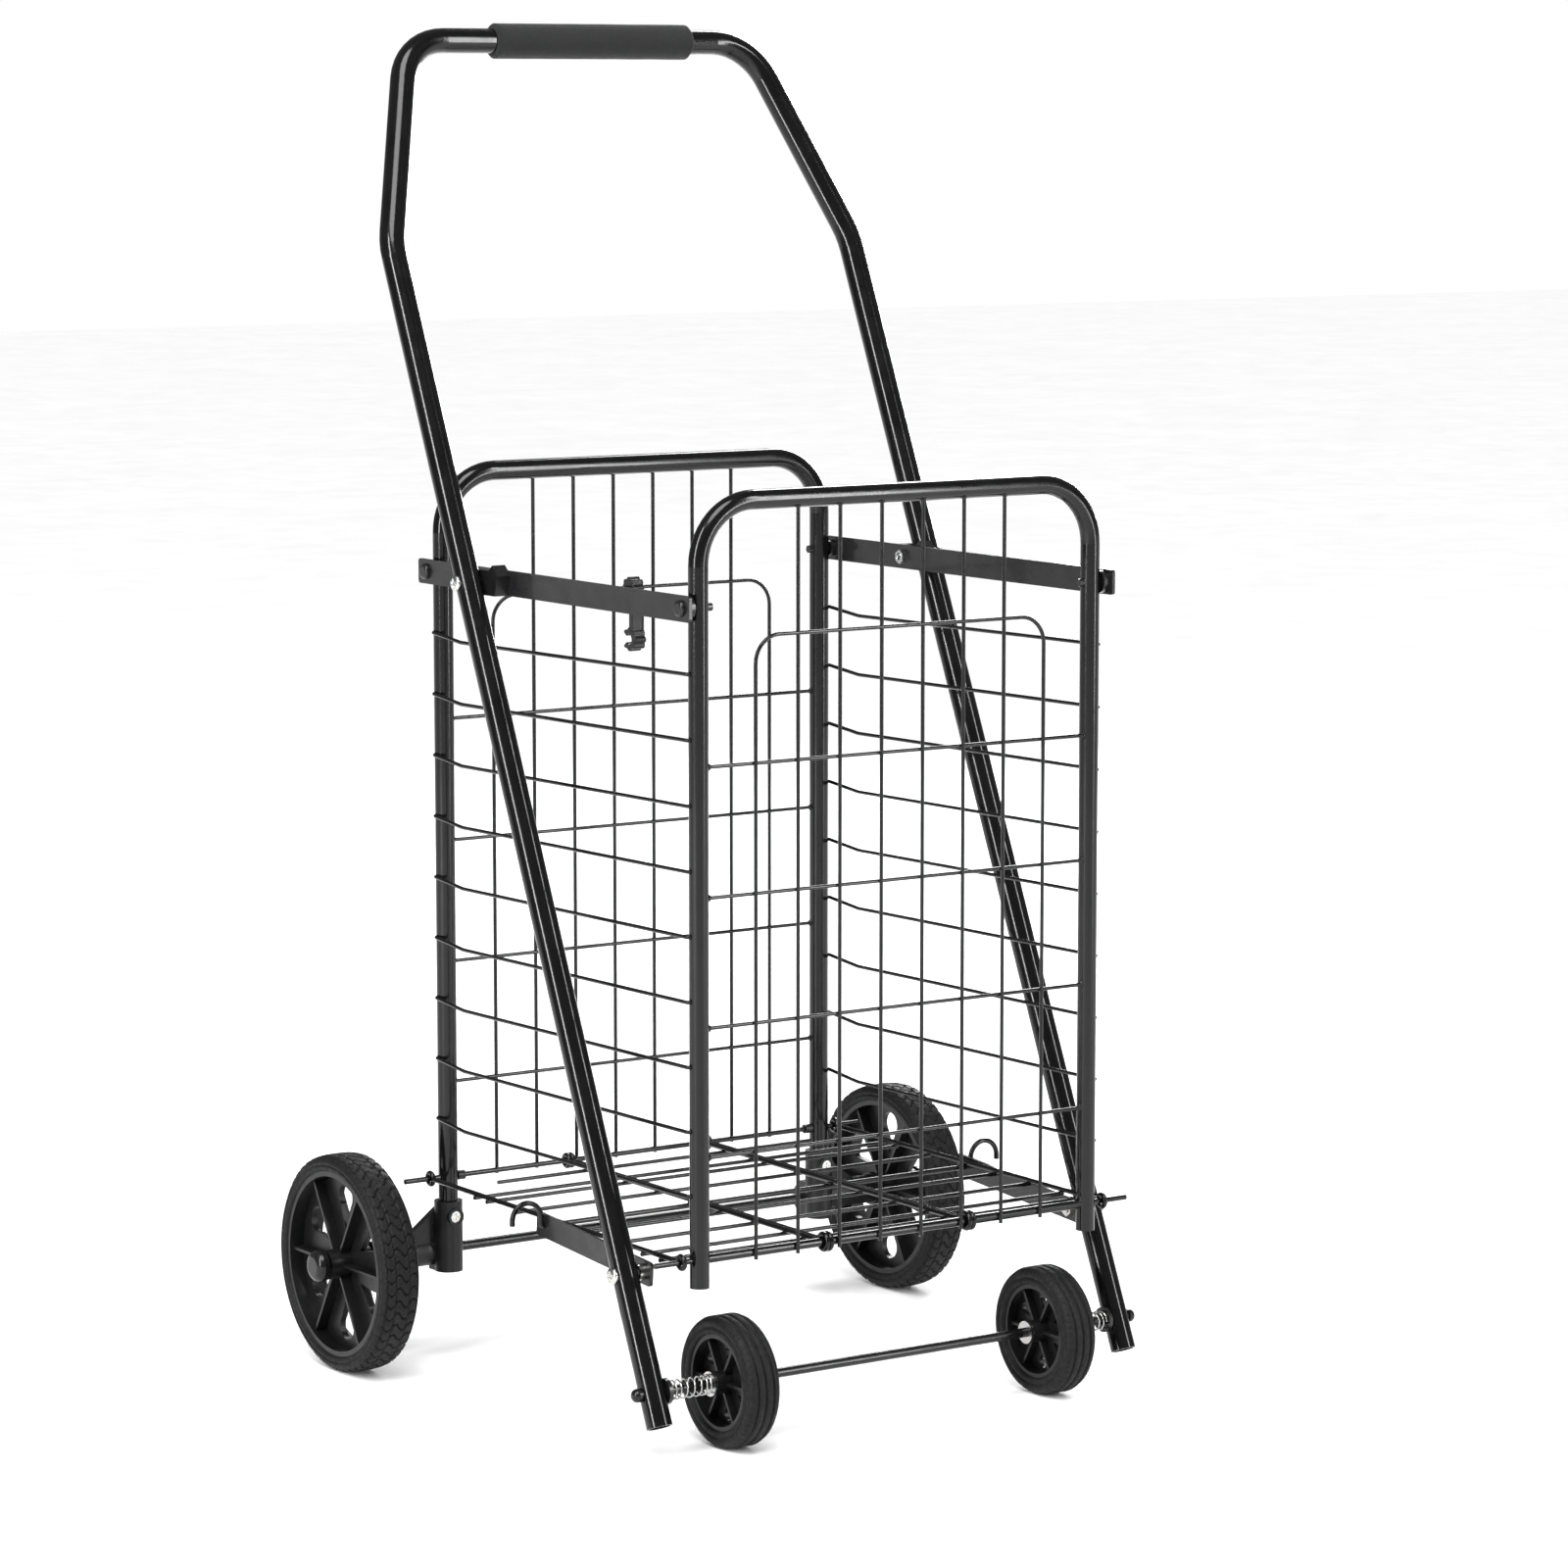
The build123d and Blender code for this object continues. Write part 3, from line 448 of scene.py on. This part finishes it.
# ---------------------------------------------------------------- springs
def coil_spring(side):
    """Compression spring with closed end turns."""
    node = side + "_wheel_spring"
    centre, radius, low_x, high_x = axle_place(node)
    inner, outer = (high_x, low_x) if side == "left" else (low_x, high_x)
    length = outer - inner
    wire_r = SPRING_WIRE_R * MM
    coil_r = radius - wire_r
    steps = int(SPRING_TURNS * SPRING_STEPS_PER_TURN)
    reach = math.copysign(wire_r, length)
    path = []
    for n in range(steps + 1):
        part = n / steps
        turn = 2 * math.pi * SPRING_TURNS * part
        eased = part - 0.055 * math.sin(2 * math.pi * part)    # turns close up at both ends
        x = inner + reach + (length - 2 * reach) * eased
        y, z = centre.y + coil_r * math.cos(turn), centre.z + coil_r * math.sin(turn)
        path.append(Vector((x, y, z)))
    piece = mesh_piece(side + "_coil", *swept(path, wire_r))
    finish_piece(piece, "handle", "zinc_steel", node)
    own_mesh(piece)


# ---------------------------------------------------------------- grip
def foam_sleeve():
    """Foam sleeve with bevelled ends, slightly uneven like cut foam tube."""
    centre, radius, low_x, high_x = axle_place("foam_grip")
    bevel, bore = GRIP_BEVEL * MM, GRIP_BORE_R * MM
    unevenness = 0.1 * MM
    skin_r = radius - 0.12 * MM                 # leaves room for the unevenness
    rings = [(low_x, bore), (low_x, radius - bevel)]
    for n in range(GRIP_ROWS + 1):
        rings.append((low_x + bevel + (high_x - low_x - 2 * bevel) * n / GRIP_ROWS, skin_r))
    rings += [(high_x, radius - bevel), (high_x, bore)]
    points = []
    for x, r in rings:
        for c in range(GRIP_COLUMNS):
            turn = 2 * math.pi * c / GRIP_COLUMNS
            spot = Vector((x * 60, math.cos(turn) * 1.4, math.sin(turn) * 1.4))
            reach = r + (noise.noise(spot) * unevenness if r > bore else 0.0)
            y, z = centre.y + reach * math.cos(turn), centre.z + reach * math.sin(turn)
            points.append((x, y, z))
    piece = mesh_piece("grip_sleeve", points, grid_faces(len(rings), GRIP_COLUMNS))
    finish_piece(piece, "handle", "foam", "foam_grip")


# ---------------------------------------------------------------- bright cross-recess screws
def cross_depth(u, v, reach):
    """Depth in mm of a cross recess at a point on a screw head."""
    length = reach * 0.52
    upright = max(abs(u) - RECESS_ARM, abs(v) - length)
    level = max(abs(v) - RECESS_ARM, abs(u) - length)
    return RECESS_DEPTH * min(1.0, max(0.0, 0.5 - min(upright, level) * 2.2))


def screws(name, node, body, head_height, shank_in):
    """Left and right pan-head screws with a cross recess, one mesh for the CAD node."""
    low, high = (Vector(corner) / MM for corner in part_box(node))
    y, z = (low.y + high.y) / 2, (low.z + high.z) / 2
    radius = (high.z - low.z) / 2
    head_x = high.x - head_height
    dome_rise = head_height * HEAD_DOME_SHARE
    dome_x = high.x - dome_rise
    outline = [(shank_in, SCREW_SHANK_R * 0.8), (shank_in + 0.5, SCREW_SHANK_R),
               (head_x, SCREW_SHANK_R), (head_x, radius - 0.15), (head_x + 0.2, radius)]
    for n in range(SCREW_RINGS + 1):
        part = n / SCREW_RINGS
        rise = dome_rise * math.sqrt(1 - (1 - part) ** 2)
        outline.append((dome_x + rise, radius * (1 - part * 0.97)))
    points, faces = [], []
    for side in (-1, 1):
        start = len(points)
        for x, r in outline:
            for c in range(SCREW_COLUMNS):
                turn = 2 * math.pi * c / SCREW_COLUMNS
                u, v = r * math.cos(turn), r * math.sin(turn)
                depth = cross_depth(u, v, radius) if x > dome_x else 0.0
                points.append((side * (x - depth) * MM, (y + u) * MM, (z + v) * MM))
        last = start + (len(outline) - 1) * SCREW_COLUMNS
        faces += shifted(grid_faces(len(outline), SCREW_COLUMNS), start)
        faces.append(tuple(range(start, start + SCREW_COLUMNS)))
        faces.append(tuple(range(last, last + SCREW_COLUMNS)))
    finish_piece(mesh_piece(name, points, faces), body, "zinc_steel", node)


# ---------------------------------------------------------------- fold clip
def lobed_head(points, faces, centre, outer, bore, half, gap=0.0):
    """Scalloped ring whose hole runs along X. A gap, in radians, opens it towards +Y."""
    start, steps, rim = len(points), 96, 6
    for n in range(steps + 1):
        turn = gap / 2 + (2 * math.pi - gap) * n / steps
        reach = outer * (1 + CLIP_LOBE_RISE * math.cos(CLIP_LOBES * turn))
        for x, r in ((-half, bore), (-half, reach - 0.5), (-half + 0.5, reach),
                     (half - 0.5, reach), (half, reach - 0.5), (half, bore)):
            points.append((x, centre[0] + r * math.cos(turn), centre[1] + r * math.sin(turn)))
    last = start + steps * rim
    faces += shifted(grid_faces(steps + 1, rim), start)
    faces.append(tuple(range(start, start + rim))[::-1])
    faces.append(tuple(range(last, last + rim)))


def slab(points, faces, low, high):
    start = len(points)
    points += list(itertools.product(*zip(low, high)))
    sides = [(0, 1, 3, 2), (4, 6, 7, 5), (0, 4, 5, 1), (2, 3, 7, 6), (0, 2, 6, 4), (1, 5, 7, 3)]
    faces += shifted(sides, start)


def clip_piece():
    """Plastic clip: lobed eye on the panel wire, ribbed arm and a lobed open jaw."""
    low, high = (Vector(corner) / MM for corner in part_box("fold_clip"))
    half = (high.x - low.x) / 2
    eye_y, eye_z = high.y - CLIP_EYE_R, high.z - CLIP_EYE_R
    jaw_y, jaw_z = low.y + CLIP_JAW_R, low.z + CLIP_JAW_R
    points, faces = [], []
    lobed_head(points, faces, (eye_y, eye_z), CLIP_EYE_R, CLIP_EYE_BORE, half)
    lobed_head(points, faces, (jaw_y, jaw_z), CLIP_JAW_R - 0.2, CLIP_JAW_BORE, half,
               gap=CLIP_JAW_GAP)
    arm_y = eye_y - CLIP_ARM_BEHIND_EYE
    front, back = arm_y - CLIP_ARM_HALF, arm_y + CLIP_ARM_HALF
    slab(points, faces, (-half + 0.4, front, jaw_z + 4.5), (half - 0.4, back, eye_z - 2))
    for edge in (-1, 1):
        x = edge * (half - 0.9)
        slab(points, faces, (x - 0.6, front - 0.5, jaw_z + 5), (x + 0.6, back + 0.4, eye_z - 3))
    piece = mesh_piece("panel_clip", [(x * MM, y * MM, z * MM) for x, y, z in points], faces)
    finish_piece(piece, "clip", "clip_plastic", "fold_clip")
    piece.data.polygons.foreach_set("use_smooth", [False] * len(piece.data.polygons))
    bevel = piece.modifiers.new("soft_edges", "BEVEL")
    bevel.width, bevel.segments, bevel.limit_method = 0.25 * MM, 2, "ANGLE"
    bevel.angle_limit = math.radians(35)


# ---------------------------------------------------------------- weld beads
def beads(name, places, body):
    """Uneven weld beads as one mesh. Each place is a point and three half sizes, in mm."""
    points, faces = [], []
    rows, columns = 8, 12
    for number, (spot, size) in enumerate(places):
        start = len(points)
        for r in range(rows):
            polar = math.pi * (r + 0.5) / rows
            for c in range(columns):
                turn = 2 * math.pi * c / columns
                flat = math.sin(polar)
                way = Vector((flat * math.cos(turn), flat * math.sin(turn), math.cos(polar)))
                swell = 1 + BEAD_UNEVENNESS * noise.noise(way * 1.7 + Vector((number * 3.1, 0, 0)))
                points.append([(spot[i] + way[i] * size[i] * swell) * MM for i in range(3)])
        last = start + (rows - 1) * columns
        faces += shifted(grid_faces(rows, columns), start)
        faces.append(tuple(range(start, start + columns)))
        faces.append(tuple(range(last, last + columns))[::-1])
    finish_piece(mesh_piece(name, points, faces), body, "painted_wire")


def panel_beads(name, y, out, tube_r, rod_r, body):
    """Beads where a panel's wires meet each other, its legs, its top tube and its bottom rod."""
    vertical_y = y + out * (rod_r + WIRE_R - BEAD_SINK)
    horizontal_y = vertical_y - out * (2 * WIRE_R - 0.4)
    leg_reach = math.sqrt(tube_r ** 2 - (horizontal_y - y) ** 2)
    top_reach = math.sqrt(tube_r ** 2 - (vertical_y - y) ** 2)
    half = VERTICAL_STEP * (VERTICALS - 1) / 2
    xs = [n * VERTICAL_STEP - half for n in range(VERTICALS)]
    zs = [HORIZONTAL_TOP_Z - n * HORIZONTAL_STEP for n in range(HORIZONTALS)]
    places = []
    for z in zs:
        for side in (-1, 1):
            places.append(((side * (LEG_X - leg_reach), horizontal_y, z), LEG_BEAD))
        for x in xs:
            places.append(((x, (vertical_y + horizontal_y) / 2, z), CROSS_BEAD))
    for x in xs[1:-1]:
        places.append(((x, vertical_y, PANEL_TOP_Z - top_reach), TOP_BEAD))
    for x in xs:
        places.append(((x, (vertical_y + y + out * rod_r) / 2, ROD_Z), ROD_BEAD))
    beads(name, places, body)


def shelf_beads():
    """Beads where the shelf's cross wires are welded under its runners."""
    places = [((x, REAR_LEG_Y - back, ROD_Z - SHELF_RUNNER_R), SHELF_BEAD)
              for back in SHELF_CROSS_FROM_REAR for x in SHELF_RUNNER_XS]
    beads("shelf_weld_beads", places, "shelf")


for side_name in ("left", "right"):
    big_tyre(side_name)
    small_tyre(side_name)
    coil_spring(side_name)
foam_sleeve()
screws("handle_pivot_screws", "handle_pivot_bolts", "straps", PIVOT_HEAD, PIVOT_SHANK_IN)
screws("link_screws", "link_bolts", "handle", LINK_HEAD, LINK_SHANK_IN)
clip_piece()
panel_beads("rear_weld_beads", REAR_LEG_Y, 1, REAR_TUBE_R, REAR_ROD_R, "rear_frame")
panel_beads("front_weld_beads", FRONT_LEG_Y, -1, FRONT_TUBE_R, FRONT_ROD_R, "front_frame")
shelf_beads()


# ---------------------------------------------------------------- floor, light and camera
def pale_floor():
    """Wide pale floor, in a dim room that the camera alone sees as white."""
    s = Shader("studio_floor", Specular_IOR_Level=0.25)
    s.feed("Base Color", s.ramp(s.noise(3, 3), (0.93, 0.93, 0.93), (0.96, 0.96, 0.96)))
    s.feed("Roughness", s.span(s.noise(12, 3), 0.5, 0.62))
    corners = [(x, y, 0) for y in (-FLOOR_REACH, FLOOR_REACH) for x in (-FLOOR_REACH, FLOOR_REACH)]
    floor = mesh_piece("floor", corners, grid_faces(2, 2, wrap_columns=False))
    floor.data.materials.append(s.material)
    world = bpy.data.worlds.new("studio")
    bpy.context.scene.world = world
    world.use_nodes = True
    nodes, links = world.node_tree.nodes, world.node_tree.links
    dim, bright = nodes["Background"], nodes.new("ShaderNodeBackground")
    dim.inputs["Color"].default_value = bright.inputs["Color"].default_value = (1, 1, 1, 1)
    dim.inputs["Strength"].default_value = ROOM_LIGHT
    mix, path = nodes.new("ShaderNodeMixShader"), nodes.new("ShaderNodeLightPath")
    links.new(path.outputs["Is Camera Ray"], mix.inputs["Fac"])
    for socket, background in ((1, dim), (2, bright)):     # both are named Shader
        links.new(background.outputs["Background"], mix.inputs[socket])
    links.new(mix.outputs["Shader"], nodes["World Output"].inputs["Surface"])


def area_light(name, place, aim, size, power):
    light = bpy.data.lights.new(name, "AREA")
    light.shape = "RECTANGLE"
    light.size, light.size_y = size
    light.energy = power
    lamp = bpy.data.objects.new(name, light)
    lamp.location = place
    lamp.rotation_euler = (Vector(aim) - Vector(place)).to_track_quat("-Z", "Y").to_euler()
    bpy.context.scene.collection.objects.link(lamp)
    return lamp


def sky_light():
    """Broad soft light from high on the left, even all over the floor."""
    light = bpy.data.lights.new("sky_panel", "SUN")
    light.energy = SKY_POWER
    light.angle = math.radians(SKY_SPREAD)
    lamp = bpy.data.objects.new("sky_panel", light)
    lamp.rotation_euler = (math.radians(SKY_TILT[0]), math.radians(SKY_TILT[1]), 0)
    bpy.context.scene.collection.objects.link(lamp)
    return lamp


def studio():
    pale_floor()
    lamps = [area_light(name, place, STRIP_AIM, size, power)
             for name, place, size, power in STRIPS]
    sky_light()
    bpy.context.scene.view_settings.view_transform = "Standard"


def camera():
    """Camera at the photograph's viewing angle."""
    azimuth, elevation = math.radians(CAMERA_AZIMUTH), math.radians(CAMERA_ELEVATION)
    target = Vector(CAMERA_TARGET) - Vector((0, MIDDLE_Y * MM, 0))
    way = Vector((math.sin(azimuth) * math.cos(elevation),
                  -math.cos(azimuth) * math.cos(elevation),
                  math.sin(elevation)))
    lens = bpy.data.cameras.new("camera")
    lens.sensor_width = SENSOR_MM
    lens.lens = FOCAL_PX / IMAGE_PX * SENSOR_MM
    eye = bpy.data.objects.new("camera", lens)
    eye.location = target + way * CAMERA_DISTANCE
    eye.rotation_euler = (-way).to_track_quat("-Z", "Y").to_euler()
    bpy.context.scene.collection.objects.link(eye)
    bpy.context.scene.camera = eye


studio()
camera()
